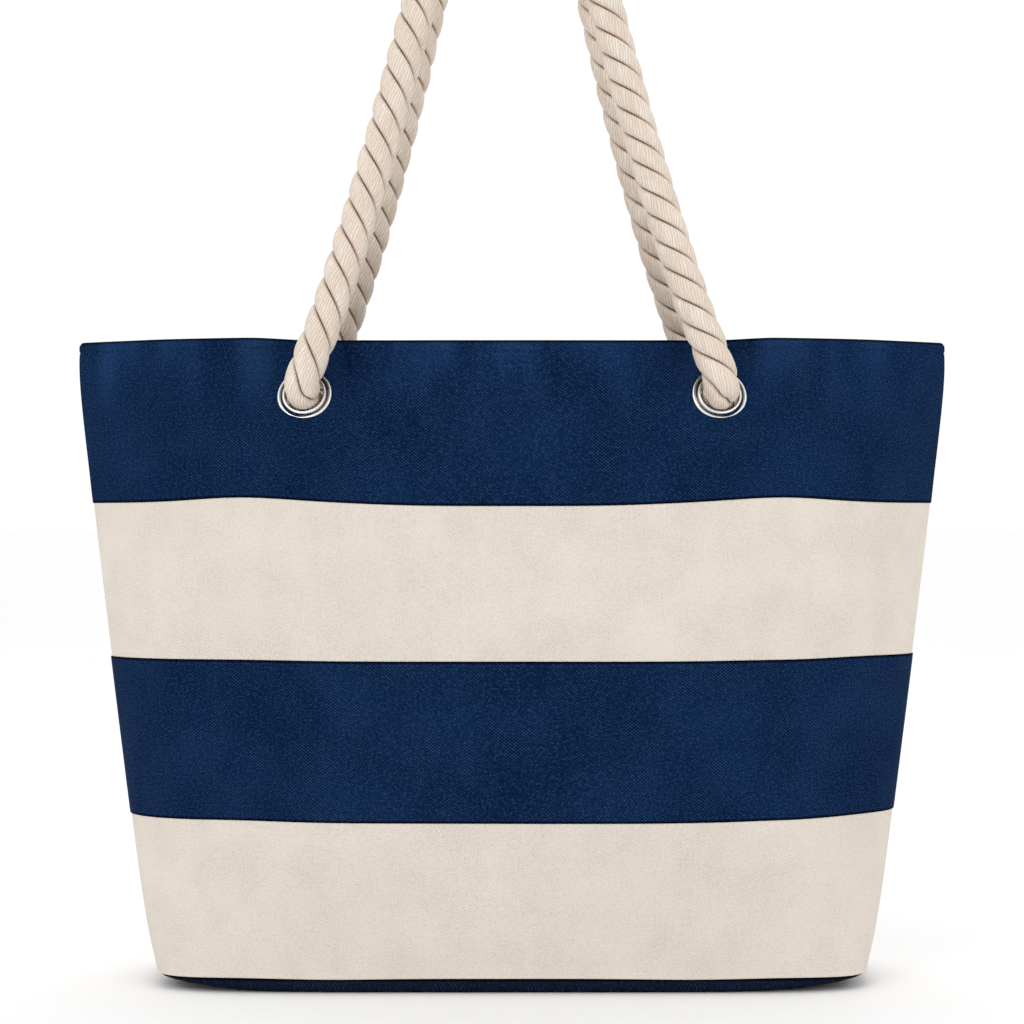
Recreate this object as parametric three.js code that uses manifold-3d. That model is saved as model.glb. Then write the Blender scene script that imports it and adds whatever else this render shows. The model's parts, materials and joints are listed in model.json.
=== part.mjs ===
// A striped canvas tote bag with two laid-rope handles through metal grommets.
//
// Frame: millimetres, +Z up, the front panel faces -Y, +X to the bag's right as seen from the front.
// The origin is on the floor under the middle of the bag. The bag stands open: its front and rear
// panels meet in side seams at y = 0, and a boxed base spreads its foot.

import * as THREE from 'three';
import { mergeVertices } from 'three/addons/utils/BufferGeometryUtils.js';
import Module from 'manifold-3d';

const wasm = await Module();
wasm.setup();

// ---------------------------------------------------------------- driving dimensions, mm

// The side outline: a straight taper that pulls in at the rim and again above the foot.
const BAG_HEIGHT = 364;
const TOP_HALF_WIDTH = 254.2;
const SIDE_TAPER = 0.125;
const RIM_PULL_IN = 4.2;
const RIM_PULL_HEIGHT = 15;
const FOOT_PULL_IN = 9.5;
const FOOT_PULL_HEIGHT = 22;

// From the middle plane to the front panel. The belly is how far the panel swells at mid height.
const RIM_HALF_DEPTH = 56;
const FOOT_HALF_DEPTH = 66;
const BELLY = 3;
const FOOT_EDGE_RADIUS = 7;
const FOOT_END_LENGTH = 34;

// A plan section is |x/w|^p + |y/d|^q = 1. At the rim it is a lens with the first p and q. Going
// down, q grows evenly with the drop, and both grow fast in the boxy foot.
const RIM_P = 3.2;
const RIM_Q = 1.05;
const DROP_Q = 1.1;
const FOOT_P = 4.3;
const FOOT_Q = 3.6;
const FOOT_BOX_HEIGHT = 35;

// Heights where one band of the front or rear panel is sewn to the next, from the base up.
const SEAM_HEIGHTS = [8, 94.7, 184.7, 273];

// Heights where every panel takes its section: closer at the round foot edge, the grommets and the rim.
const SECTION_HEIGHTS = [14, 34, 94.7, 184.7, 273, 296, 308, 320, 333, 348, 356];
const SECTION_STEPS = 600;
const COLUMNS = 28;
const GROMMET_CROWDING = 1.6;
const GROMMET_CROWD_REACH = 30;
const ROUND_SIDES = 18;
const ROW_CLEARANCE = 1;
const MERGE_DISTANCE = 1e-4;

const CANVAS = 1.5;
const LINING = 1.0;
const GAP = 0.35;
const SIDE_GAP = 0.2;
const FACING_DEPTH = 56;
const FACING_DROP = 0.5;

const GROMMET_X = 116;
const GROMMET_Z = 333;
const GROMMET_TILT = THREE.MathUtils.degToRad(25);
const GROMMET_OUTER = 15.5;
const GROMMET_HOLE = 11;
const GROMMET_BARREL = 12.2;
const RING_FOOT = 0.7;
const RING_SHOULDER = 2;
const RING_CREST = 3;
const RING_BEVEL = 0.6;
const CREST_INNER = 0.9;
const CREST_OUTER = 2.4;
const WASHER_THICK = 1;
const WASHER_LOW = -(CANVAS + GAP + LINING) - RING_FOOT - WASHER_THICK;
const WASHER_BEVEL = 0.5;
const BARREL_CLINCH = 0.4;
const PUNCH_REACH = 12;
const PUCKER_FLAT = 19;
const PUCKER_END = 46;
const TURN_SPAN = 8;

const ROPE_RADIUS = 10.2;
const ROPE_IN_HOLE = 9.5;
const ROPE_SIDES = 10;
const PIVOT_OUT = 16;
const PIVOT_UP = 7;
const APEX_Z = 622;
const APEX_HALF_GAP = 11;
const ARCH_RADIUS = 47;
const LEG_SLANT = 0.24;
const LEG_POINTS = 6;
const ARCH_TURNS = 8;
const HANDLE_STEPS = 30;
const IN_HOLE_STEPS = 4;
const HOLE_MOUTH = 1;
const BALL_SEGMENTS = [12, 6];

const KNOT_IN = 34;
const KNOT_HALF_SIZE = [27, 18.5, 24];
const KNOT_SEGMENTS = [14, 9];
const KNOT_CLEARANCE = 1.3;
const TAIL_LENGTH = 26;
const TAIL_SIDES = 12;

const TRAY_HEIGHTS = [0, 1.2, 4];
const BASE_BOARD = 2.4;
const BOARD_INSET = 12;
const BOARD_END_INSET = 37;
const FLOOR_INSET = 6.5;
const FLOOR_END_INSET = 12;

// ---------------------------------------------------------------- materials

const cloth = (color, roughness = 0.9) => new THREE.MeshStandardMaterial({ color, roughness, metalness: 0 });
const metal = (color, roughness) => new THREE.MeshStandardMaterial({ color, roughness, metalness: 1 });

const NAVY = cloth(0x15305c);
const CREAM = cloth(0xe2d8c8);
const LINING_CLOTH = cloth(0xd9d2c4);
const ROPE = cloth(0xdccbb2);
const WHIPPING = cloth(0xf0e9dc);
const BOARD = cloth(0x3b3b3d, 0.8);
const NICKEL = metal(0xd8d8da, 0.18);

const BANDS = [
  ['bottom_cream_band', CREAM],
  ['lower_navy_band', NAVY],
  ['upper_cream_band', CREAM],
  ['top_navy_band', NAVY],
];

// ---------------------------------------------------------------- the bag's outer surface

const clamp01 = (t) => Math.min(1, Math.max(0, t));
const smoothstep = (t) => clamp01(t) ** 2 * (3 - 2 * clamp01(t));

function footInset(z) {
  const drop = Math.max(0, FOOT_EDGE_RADIUS - z);
  return FOOT_EDGE_RADIUS - Math.sqrt(FOOT_EDGE_RADIUS ** 2 - drop ** 2);
}

function halfWidth(z) {
  const down = BAG_HEIGHT - z;
  const rimPull = RIM_PULL_IN * Math.exp(-down / RIM_PULL_HEIGHT);
  const footPull = FOOT_PULL_IN * Math.exp(-z / FOOT_PULL_HEIGHT);
  return TOP_HALF_WIDTH - SIDE_TAPER * down - rimPull - footPull - footInset(z);
}

function halfDepth(z) {
  const t = z / BAG_HEIGHT;
  const taper = (FOOT_HALF_DEPTH - RIM_HALF_DEPTH) * t ** 2;
  return FOOT_HALF_DEPTH - taper + BELLY * Math.sin(Math.PI * t) - footInset(z);
}

// The plan outline of the front half at height z, in fine steps from the left side seam to the right.
function frontOutline(z) {
  const w = halfWidth(z);
  const d = halfDepth(z) - SIDE_GAP;
  const foot = Math.exp(-z / FOOT_BOX_HEIGHT);
  const p = RIM_P + FOOT_P * foot;
  const q = RIM_Q + DROP_Q * (1 - z / BAG_HEIGHT) + FOOT_Q * foot;
  const points = [];
  for (let i = 0; i <= SECTION_STEPS; i += 1) {
    const angle = (Math.PI * i) / SECTION_STEPS;
    const c = Math.cos(angle);
    const s = Math.max(0, Math.sin(angle));
    points.push(new THREE.Vector2(-w * Math.sign(c) * Math.abs(c) ** (2 / p), -SIDE_GAP - d * s ** (2 / q)));
  }
  return points;
}

// The same outline in COLUMNS steps, which are shorter by the grommets.
function frontSection(z) {
  const fine = frontOutline(z);
  const along = [0];
  for (let i = 1; i <= SECTION_STEPS; i += 1) {
    const away = (Math.abs(fine[i].x) - GROMMET_X) / GROMMET_CROWD_REACH;
    const weight = 1 + GROMMET_CROWDING * Math.exp(-(away ** 2));
    along.push(along[i - 1] + weight * fine[i].distanceTo(fine[i - 1]));
  }
  const points = [];
  let k = 1;
  for (let i = 0; i <= COLUMNS; i += 1) {
    const target = (along[SECTION_STEPS] * i) / COLUMNS;
    while (k < SECTION_STEPS && along[k] < target) k += 1;
    const part = (target - along[k - 1]) / (along[k] - along[k - 1]);
    points.push(fine[k - 1].clone().lerp(fine[k], clamp01(part)));
  }
  return points;
}

function frontPanelY(x, z) {
  const line = frontOutline(z);
  const i = line.findIndex((p) => p.x > x);
  const part = (x - line[i - 1].x) / (line[i].x - line[i - 1].x);
  return line[i - 1].y + part * (line[i].y - line[i - 1].y);
}

// Moves a section inwards by `inset`, with mitred corners, keeping its two ends on the seam plane.
function insetSection(points, inset) {
  const normals = [];
  for (let i = 0; i < points.length - 1; i += 1) {
    const run = points[i + 1].clone().sub(points[i]).normalize();
    normals.push(new THREE.Vector2(-run.y, run.x));
  }
  return points.map((point, i) => {
    const before = normals[Math.max(0, i - 1)];
    const after = normals[Math.min(normals.length - 1, i)];
    if (i === 0) return new THREE.Vector2(point.x + inset / after.x, point.y);
    if (i === points.length - 1) return new THREE.Vector2(point.x + inset / before.x, point.y);
    const middle = before.clone().add(after).normalize();
    return point.clone().addScaledVector(middle, inset / middle.dot(before));
  });
}

// How far the cloth round a grommet is tipped back by the rope's pull. It eases out to the panel.
function pucker(x, z) {
  let shift = 0;
  for (const side of [-1, 1]) {
    const r = Math.hypot(x - side * GROMMET_X, z - GROMMET_Z);
    const held = 1 - smoothstep((r - PUCKER_FLAT) / (PUCKER_END - PUCKER_FLAT));
    shift += held * Math.tan(GROMMET_TILT) * (z - GROMMET_Z);
  }
  return shift;
}

// ---------------------------------------------------------------- solids from point grids

function solidFromGrid(rows, faces) {
  const positions = rows.flat().flatMap((v) => [v.x, v.y, v.z]);
  const geometry = new THREE.BufferGeometry();
  geometry.setAttribute('position', new THREE.Float32BufferAttribute(positions, 3));
  geometry.setIndex(faces);
  return geometry;
}

// A shell of cloth for one panel between two heights: an outer and an inner grid, joined at the edges.
function panelShell(zLow, zHigh, inset, thickness) {
  const inside = (z) => z > zLow + ROW_CLEARANCE && z < zHigh - ROW_CLEARANCE;
  const heights = [zLow, ...SECTION_HEIGHTS.filter(inside), zHigh];
  const rows = [];
  for (const layerInset of [inset, inset + thickness]) {
    for (const z of heights) {
      const line = insetSection(frontSection(z), layerInset);
      rows.push(line.map((p) => new THREE.Vector3(p.x, p.y + pucker(p.x, z), z)));
    }
  }
  const top = heights.length - 1;
  const at = (layer, r, c) => (layer * heights.length + r) * (COLUMNS + 1) + c;
  const faces = [];
  const quad = (a, b, c, d) => faces.push(a, b, c, a, c, d);
  for (let r = 0; r < top; r += 1) {
    for (let c = 0; c < COLUMNS; c += 1) {
      quad(at(0, r, c), at(0, r, c + 1), at(0, r + 1, c + 1), at(0, r + 1, c));
      quad(at(1, r, c), at(1, r + 1, c), at(1, r + 1, c + 1), at(1, r, c + 1));
    }
    quad(at(0, r, 0), at(0, r + 1, 0), at(1, r + 1, 0), at(1, r, 0));
    quad(at(0, r, COLUMNS), at(1, r, COLUMNS), at(1, r + 1, COLUMNS), at(0, r + 1, COLUMNS));
  }
  for (let c = 0; c < COLUMNS; c += 1) {
    quad(at(0, 0, c), at(1, 0, c), at(1, 0, c + 1), at(0, 0, c + 1));
    quad(at(0, top, c), at(0, top, c + 1), at(1, top, c + 1), at(1, top, c));
  }
  return solidFromGrid(rows, faces);
}

// The whole plan outline at height z, moved inwards by `inset`, and by `endInset` more at its two ends.
function fullOutline(z, inset, endInset) {
  const squeeze = 1 - endInset / halfWidth(z);
  const front = insetSection(frontSection(z), inset);
  const rear = front.map((p) => new THREE.Vector2(p.x, -p.y)).reverse();
  return [...front, ...rear].map((p) => new THREE.Vector3(p.x * squeeze, p.y, z));
}

// Stacks closed outlines into one solid, with a flat cap at each end.
function stackedSolid(rings) {
  const wide = rings[0].length;
  const faces = [];
  for (let r = 0; r < rings.length - 1; r += 1) {
    for (let c = 0; c < wide; c += 1) {
      const next = (c + 1) % wide;
      const [a, b] = [r * wide + c, r * wide + next];
      faces.push(a, b, b + wide, a, b + wide, a + wide);
    }
  }
  const top = (rings.length - 1) * wide;
  for (const [ring, start, flip] of [[rings[0], 0, true], [rings[rings.length - 1], top, false]]) {
    const outline = ring.map((v) => new THREE.Vector2(v.x, v.y));
    for (const [a, b, c] of THREE.ShapeUtils.triangulateShape(outline, [])) {
      faces.push(start + a, start + (flip ? c : b), start + (flip ? b : c));
    }
  }
  return solidFromGrid(rings, faces);
}

function tube(path, radius, steps) {
  const circle = new THREE.Shape();
  circle.absarc(0, 0, radius, 0, 2 * Math.PI, false);
  const shape = { steps, extrudePath: path, curveSegments: ROPE_SIDES / 2, bevelEnabled: false };
  return new THREE.ExtrudeGeometry(circle, shape);
}

// A cylinder or lathe along +Y, turned to stand on the axis through `origin`.
function placed(geometry, origin, axis) {
  const turn = new THREE.Quaternion().setFromUnitVectors(new THREE.Vector3(0, 1, 0), axis);
  return geometry.applyMatrix4(new THREE.Matrix4().compose(origin, turn, new THREE.Vector3(1, 1, 1)));
}

// ---------------------------------------------------------------- booleans

function toManifold(geometry) {
  const plain = geometry.clone();
  plain.deleteAttribute('normal');
  plain.deleteAttribute('uv');
  const merged = mergeVertices(plain, MERGE_DISTANCE);
  const vertProperties = new Float32Array(merged.attributes.position.array);
  const triVerts = new Uint32Array(merged.index.array);
  return new wasm.Manifold(new wasm.Mesh({ numProp: 3, vertProperties, triVerts }));
}

function toGeometry(solid) {
  const mesh = solid.getMesh();
  const geometry = new THREE.BufferGeometry();
  geometry.setAttribute('position', new THREE.BufferAttribute(new Float32Array(mesh.vertProperties), 3));
  geometry.setIndex(new THREE.BufferAttribute(new Uint32Array(mesh.triVerts), 1));
  return geometry;
}

// ---------------------------------------------------------------- places of the grommets and ropes

const GROMMET_Y = frontPanelY(GROMMET_X, GROMMET_Z);
const PANEL_TURN = (frontPanelY(GROMMET_X + TURN_SPAN, GROMMET_Z) - GROMMET_Y) / TURN_SPAN;
const PIVOT = new THREE.Vector3(GROMMET_X, GROMMET_Y - PIVOT_OUT, GROMMET_Z + PIVOT_UP);

const grommetCentre = (side) => new THREE.Vector3(side * GROMMET_X, GROMMET_Y, GROMMET_Z);
const pivotPoint = (side) => new THREE.Vector3(side * PIVOT.x, PIVOT.y, PIVOT.z);

// Out of the hole and up, square to the tipped cloth, which also turns a little with the panel.
const grommetAxis = (side) => new THREE.Vector3(side * PANEL_TURN, -1, Math.tan(GROMMET_TILT)).normalize();
const knotCentre = (side) => grommetCentre(side).addScaledVector(grommetAxis(side), -KNOT_IN);

// ---------------------------------------------------------------- pieces of the front half

function panelBand(index) {
  const low = SEAM_HEIGHTS[index] + GAP / 2;
  const high = index + 1 < SEAM_HEIGHTS.length ? SEAM_HEIGHTS[index + 1] - GAP / 2 : BAG_HEIGHT;
  return panelShell(low, high, 0, CANVAS);
}

// Cuts each grommet's barrel hole through a layer of cloth, and presses a flat seat for its ring
// between two heights measured along the grommet's axis.
function withGrommetHoles(geometry, seatLow, seatHigh) {
  let solid = toManifold(geometry);
  const cuts = [[GROMMET_BARREL, -PUNCH_REACH, PUNCH_REACH], [GROMMET_OUTER + GAP, seatLow, seatHigh]];
  for (const side of [-1, 1]) {
    for (const [radius, low, high] of cuts) {
      const punch = new THREE.CylinderGeometry(radius, radius, high - low, ROUND_SIDES);
      punch.translate(0, (low + high) / 2, 0);
      solid = solid.subtract(toManifold(placed(punch, grommetCentre(side), grommetAxis(side))));
    }
  }
  return toGeometry(solid);
}

// A closed ring about the grommet's axis, from its profile's radii and heights.
function grommetRing(side, profile) {
  const closed = [...profile, profile[0]].map(([r, h]) => new THREE.Vector2(r, h));
  return placed(new THREE.LatheGeometry(closed, ROUND_SIDES), grommetCentre(side), grommetAxis(side));
}

// The grommet's front part: a rolled ring on the canvas and the barrel that goes through the cloth.
function grommetFace(side) {
  return grommetRing(side, [
    [GROMMET_HOLE, WASHER_LOW - BARREL_CLINCH],
    [GROMMET_BARREL - GAP, WASHER_LOW - BARREL_CLINCH],
    [GROMMET_BARREL - GAP, RING_FOOT],
    [GROMMET_OUTER, RING_FOOT],
    [GROMMET_OUTER - RING_BEVEL, RING_SHOULDER],
    [GROMMET_HOLE + CREST_OUTER, RING_CREST],
    [GROMMET_HOLE + CREST_INNER, RING_CREST],
    [GROMMET_HOLE, RING_SHOULDER],
  ]);
}

// The grommet's back part: a flat washer on the facing, inside the bag.
function grommetWasher(side) {
  return grommetRing(side, [
    [GROMMET_BARREL, WASHER_LOW],
    [GROMMET_OUTER - WASHER_BEVEL, WASHER_LOW],
    [GROMMET_OUTER, WASHER_LOW + WASHER_BEVEL],
    [GROMMET_OUTER, WASHER_LOW + WASHER_THICK],
    [GROMMET_BARREL, WASHER_LOW + WASHER_THICK],
  ]);
}

// The left half of a handle seen from the front, as (x, z) from its pivot to the top of the arch:
// a leg that flares out to the pivot, then half of the arch's turns.
function halfHandle() {
  const slant = Math.atan(LEG_SLANT);
  const archX = ARCH_RADIUS * Math.cos(slant);
  const archCentre = APEX_Z - ARCH_RADIUS;
  const archFoot = archCentre + ARCH_RADIUS * Math.sin(slant);
  const legHeight = archFoot - PIVOT.z;
  const flare = PIVOT.x - archX - LEG_SLANT * legHeight;
  const points = [];
  for (let i = 0; i < LEG_POINTS; i += 1) {
    const t = 1 - i / LEG_POINTS;
    const x = archX + LEG_SLANT * legHeight * t + flare * t ** 3;
    points.push(new THREE.Vector2(-x, archFoot - legHeight * t));
  }
  for (let i = 0; i <= ARCH_TURNS / 2; i += 1) {
    const angle = Math.PI - slant - ((Math.PI - 2 * slant) * i) / ARCH_TURNS;
    points.push(new THREE.Vector2(ARCH_RADIUS * Math.cos(angle), archCentre + ARCH_RADIUS * Math.sin(angle)));
  }
  return points;
}

// A rope handle above its pivots, leaning back over the mouth, with a ball end at each pivot.
function handleArch() {
  const lean = (-APEX_HALF_GAP - PIVOT.y) / (APEX_Z - PIVOT.z);
  const left = halfHandle();
  const right = left.slice(0, -1).reverse().map((p) => new THREE.Vector2(-p.x, p.y));
  const leaned = (p) => new THREE.Vector3(p.x, PIVOT.y + (p.y - PIVOT.z) * lean, p.y);
  const points = [...left, ...right].map(leaned);
  const path = new THREE.CatmullRomCurve3(points, false, 'centripetal');
  let solid = toManifold(tube(path, ROPE_RADIUS, HANDLE_STEPS));
  for (const side of [-1, 1]) {
    const ball = new THREE.SphereGeometry(ROPE_RADIUS, ...BALL_SEGMENTS);
    ball.translate(side * PIVOT.x, PIVOT.y, PIVOT.z);
    solid = solid.add(toManifold(ball));
  }
  return toGeometry(solid);
}

// The rope where the grommet holds it, from the knot inside to just short of the pivot.
function ropeThroughGrommet(side) {
  const centre = grommetCentre(side);
  const axis = grommetAxis(side);
  const out = pivotPoint(side).sub(centre);
  const reach = out.length() - ROPE_RADIUS - GAP;
  const inner = centre.clone().addScaledVector(axis, -KNOT_IN + KNOT_HALF_SIZE[1] + KNOT_CLEARANCE);
  const mouth = centre.clone().addScaledVector(axis, HOLE_MOUTH);
  const outer = centre.clone().addScaledVector(out.normalize(), reach);
  return tube(new THREE.CatmullRomCurve3([inner, mouth, outer]), ROPE_IN_HOLE, IN_HOLE_STEPS);
}

// The overhand knot that stops the rope inside the bag, as the lump it makes.
function knot(side) {
  const lump = new THREE.SphereGeometry(1, ...KNOT_SEGMENTS);
  lump.scale(...KNOT_HALF_SIZE);
  const centre = knotCentre(side);
  lump.translate(centre.x, centre.y, centre.z);
  return lump;
}

// The bound end of the rope that hangs out under the knot.
function whippedEnd(side) {
  const tail = new THREE.CylinderGeometry(ROPE_RADIUS, ROPE_RADIUS, TAIL_LENGTH, TAIL_SIDES);
  tail.rotateX(Math.PI / 2);
  const centre = knotCentre(side);
  tail.translate(centre.x, centre.y, centre.z - KNOT_HALF_SIZE[2] - GAP - TAIL_LENGTH / 2);
  return tail;
}

// ---------------------------------------------------------------- pieces of the base

const trayTop = SEAM_HEIGHTS[0] - GAP / 2;

// The base's ends curve up off the floor: how much shorter each end is at height z than at the top.
const endRise = (z) => FOOT_END_LENGTH * (1 - z / trayTop) ** 2;

function baseTray() {
  const outer = [...TRAY_HEIGHTS, trayTop].map((z) => fullOutline(z, 0, endRise(z)));
  const inner = [trayTop, ...TRAY_HEIGHTS.filter((z) => z > CANVAS).reverse()];
  const walls = inner.map((z) => fullOutline(z, CANVAS, endRise(z - CANVAS)));
  return stackedSolid([...outer, ...walls, fullOutline(CANVAS, CANVAS, endRise(0))]);
}

function flatPlate(low, high, inset, endInset) {
  const outline = (z) => fullOutline(trayTop, inset, endInset).map((v) => v.setZ(z));
  return stackedSolid([outline(low), outline(high)]);
}

// ---------------------------------------------------------------- assembly

const tote = new THREE.Group();

function addPiece(name, geometry, material) {
  const mesh = new THREE.Mesh(geometry, material);
  mesh.name = name;
  tote.add(mesh);
}

// The rear half is the front half mirrored in y, with its faces turned to point out again.
function mirrored(geometry) {
  const copy = geometry.index ? geometry.clone() : mergeVertices(geometry);
  copy.scale(1, -1, 1);
  const index = copy.index.array;
  for (let i = 0; i < index.length; i += 3) [index[i], index[i + 1]] = [index[i + 1], index[i]];
  return copy;
}

function addBoth(name, geometry, material) {
  addPiece(`front_${name}`, geometry, material);
  addPiece(`rear_${name}`, mirrored(geometry), material);
}

BANDS.forEach(([name, material], index) => {
  const band = panelBand(index);
  const punched = name === 'top_navy_band';
  addBoth(name, punched ? withGrommetHoles(band, RING_FOOT - GAP, PUNCH_REACH) : band, material);
});

const innerInset = CANVAS + GAP;
const facingLow = BAG_HEIGHT - FACING_DEPTH;
const facing = panelShell(facingLow, BAG_HEIGHT - FACING_DROP, innerInset, LINING);
const washerSeat = WASHER_LOW + WASHER_THICK + GAP;
addBoth('top_facing', withGrommetHoles(facing, -PUNCH_REACH, washerSeat), NAVY);
addBoth('lining', panelShell(SEAM_HEIGHTS[0] + GAP, facingLow - GAP, innerInset, LINING), LINING_CLOTH);

const boardLow = CANVAS + GAP;
const floorLow = boardLow + BASE_BOARD + GAP;
addPiece('base_panel', baseTray(), NAVY);
addPiece('base_board', flatPlate(boardLow, boardLow + BASE_BOARD, BOARD_INSET, BOARD_END_INSET), BOARD);
addPiece('base_lining', flatPlate(floorLow, floorLow + LINING, FLOOR_INSET, FLOOR_END_INSET), LINING_CLOTH);

for (const [word, side] of [['left', -1], ['right', 1]]) {
  addBoth(`${word}_grommet_face`, grommetFace(side), NICKEL);
  addBoth(`${word}_grommet_washer`, grommetWasher(side), NICKEL);
  addBoth(`${word}_rope_in_grommet`, ropeThroughGrommet(side), ROPE);
  addBoth(`${word}_rope_knot`, knot(side), ROPE);
  addBoth(`${word}_whipped_end`, whippedEnd(side), WHIPPING);
}
addBoth('rope_handle', handleArch(), ROPE);

export default tote;
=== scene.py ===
"""A striped canvas tote bag with laid-rope handles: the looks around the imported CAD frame.

Metres, +Z up, the front panel faces -Y. The canvas is a lofted shell that sags a little between its
seams, the rope is three laid strands swept along one route, and every size that the frame gives is
read from it.
"""

import json
import math

import bpy
import numpy as np
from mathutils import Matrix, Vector, noise


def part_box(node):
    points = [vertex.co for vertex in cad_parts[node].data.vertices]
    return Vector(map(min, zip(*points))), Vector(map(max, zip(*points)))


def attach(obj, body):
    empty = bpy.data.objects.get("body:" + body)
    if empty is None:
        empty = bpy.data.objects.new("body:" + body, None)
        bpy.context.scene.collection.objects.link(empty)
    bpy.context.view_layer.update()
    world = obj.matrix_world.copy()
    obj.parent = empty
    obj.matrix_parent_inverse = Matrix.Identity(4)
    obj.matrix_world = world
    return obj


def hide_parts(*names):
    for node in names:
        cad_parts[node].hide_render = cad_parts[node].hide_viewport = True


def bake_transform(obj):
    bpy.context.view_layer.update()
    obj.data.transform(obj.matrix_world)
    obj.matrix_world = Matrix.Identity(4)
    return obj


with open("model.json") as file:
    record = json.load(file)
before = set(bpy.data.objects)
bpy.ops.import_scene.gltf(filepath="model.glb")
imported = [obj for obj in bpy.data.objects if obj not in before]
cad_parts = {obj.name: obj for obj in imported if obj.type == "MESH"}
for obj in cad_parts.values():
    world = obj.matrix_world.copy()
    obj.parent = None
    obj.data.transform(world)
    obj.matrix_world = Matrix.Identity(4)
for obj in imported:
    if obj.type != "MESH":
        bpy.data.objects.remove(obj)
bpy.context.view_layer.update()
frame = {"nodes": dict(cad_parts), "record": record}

# ---------------------------------------------------------------- sizes, from the frame where it has them

MM = 0.001


def low(node):
    return Vector(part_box(node)[0])


def high(node):
    return Vector(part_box(node)[1])


def joint_point(name):
    joint = next(j for j in frame["record"]["behaviour"]["joints"] if j["name"] == name)
    return Vector(joint["pos_m"])


BAG_HEIGHT = high("front_top_navy_band").z
SEAM_GAP = 0.175 * MM
BASE_SEAM = low("front_bottom_cream_band").z - SEAM_GAP
SEAMS = [
    low("front_lower_navy_band").z - SEAM_GAP,
    low("front_upper_cream_band").z - SEAM_GAP,
    low("front_top_navy_band").z - SEAM_GAP,
]
TOP_HALF_WIDTH = 254.2 * MM
SIDE_TAPER = 0.125
RIM_PULL_IN = 4.2 * MM
RIM_PULL_HEIGHT = 15 * MM
FOOT_PULL_IN = 10.5 * MM
FOOT_PULL_HEIGHT = 30 * MM
RIM_HALF_DEPTH = 56 * MM
FOOT_HALF_DEPTH = 66 * MM
BELLY = 3 * MM
FOOT_EDGE_RADIUS = 7 * MM
FOOT_END_LENGTH = 34 * MM
# The plan outline's two exponents: at the rim, gained on the way down, and gained close to the foot.
RIM_P, FOOT_P = 3.2, 4.3
RIM_Q, DROP_Q, FOOT_Q = 1.05, 1.1, 3.6
FOOT_BOX_HEIGHT = 35 * MM
OUTLINE_POINTS = 1601
CANVAS = 1.3 * MM
THIN_CANVAS = 0.9 * MM
LINING = 0.6 * MM
NAVY_LIFT = 0.7 * MM
RIM_ROLL = 1.8 * MM
FACING_INSET = 3.2 * MM
LINING_INSET = 2.4 * MM
FACING_DEPTH = 56 * MM

GROMMET_X = 116 * MM
GROMMET_Z = 333 * MM
GROMMET_TILT = math.radians(25)
GROMMET_HOLE = 12.4 * MM
PUCKER_FLAT = 19 * MM
PUCKER_END = 46 * MM

PIVOT = joint_point("front_handle_swing")
ROPE_DIAMETER = 20.4 * MM
ROPE_LAY = 49 * MM
APEX_Z = 622 * MM
APEX_HALF_GAP = 11 * MM
ARCH_RADIUS = {-1: 48 * MM, 1: 44.5 * MM}
LEG_SLANT = 0.24
KNOT_IN = 34 * MM

# ---------------------------------------------------------------- camera

CAMERA_DISTANCE = 1.6
CAMERA_HEIGHT = 0.2678
SENSOR = 36
FOCAL_LENGTH = 97.07

camera_data = bpy.data.cameras.new("camera")
camera_data.sensor_width = SENSOR
camera_data.lens = FOCAL_LENGTH
camera = bpy.data.objects.new("camera", camera_data)
camera.location = (0, -CAMERA_DISTANCE, CAMERA_HEIGHT)
camera.rotation_euler = (math.pi / 2, 0, 0)
bpy.context.scene.collection.objects.link(camera)
bpy.context.scene.camera = camera

# ---------------------------------------------------------------- the bag's outer surface


def smoothstep(t):
    t = np.clip(t, 0, 1)
    return t * t * (3 - 2 * t)


def foot_inset(z):
    drop = max(0, FOOT_EDGE_RADIUS - z)
    return FOOT_EDGE_RADIUS - math.sqrt(FOOT_EDGE_RADIUS**2 - drop**2)


def half_width(z):
    down = BAG_HEIGHT - z
    rim_pull = RIM_PULL_IN * math.exp(-down / RIM_PULL_HEIGHT)
    foot_pull = FOOT_PULL_IN * math.exp(-z / FOOT_PULL_HEIGHT)
    return TOP_HALF_WIDTH - SIDE_TAPER * down - rim_pull - foot_pull - foot_inset(z)


def half_depth(z):
    t = z / BAG_HEIGHT
    taper = (FOOT_HALF_DEPTH - RIM_HALF_DEPTH) * t**2
    return FOOT_HALF_DEPTH - taper + BELLY * math.sin(math.pi * t) - foot_inset(z)


def section(z, columns):
    """The front half's plan outline at height z, evenly spaced along the cloth, and its normals."""
    z = min(max(z, 0), BAG_HEIGHT)
    foot = math.exp(-z / FOOT_BOX_HEIGHT)
    p = RIM_P + FOOT_P * foot
    q = RIM_Q + DROP_Q * (1 - z / BAG_HEIGHT) + FOOT_Q * foot
    angle = np.linspace(0, math.pi, OUTLINE_POINTS)
    c = np.cos(angle)
    s = np.clip(np.sin(angle), 0, 1)
    x = -half_width(z) * np.sign(c) * np.abs(c) ** (2 / p)
    y = -half_depth(z) * s ** (2 / q)
    along = np.concatenate([[0], np.cumsum(np.hypot(np.diff(x), np.diff(y)))])
    even = np.linspace(0, along[-1], columns + 1)
    points = np.stack([np.interp(even, along, x), np.interp(even, along, y)], axis=1)
    run = np.gradient(points, axis=0)
    normals = np.stack([run[:, 1], -run[:, 0]], axis=1)
    normals /= np.linalg.norm(normals, axis=1)[:, None]
    normals[0] = (-1, 0)
    normals[-1] = (1, 0)
    return points, normals, even - along[-1] / 2


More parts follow.
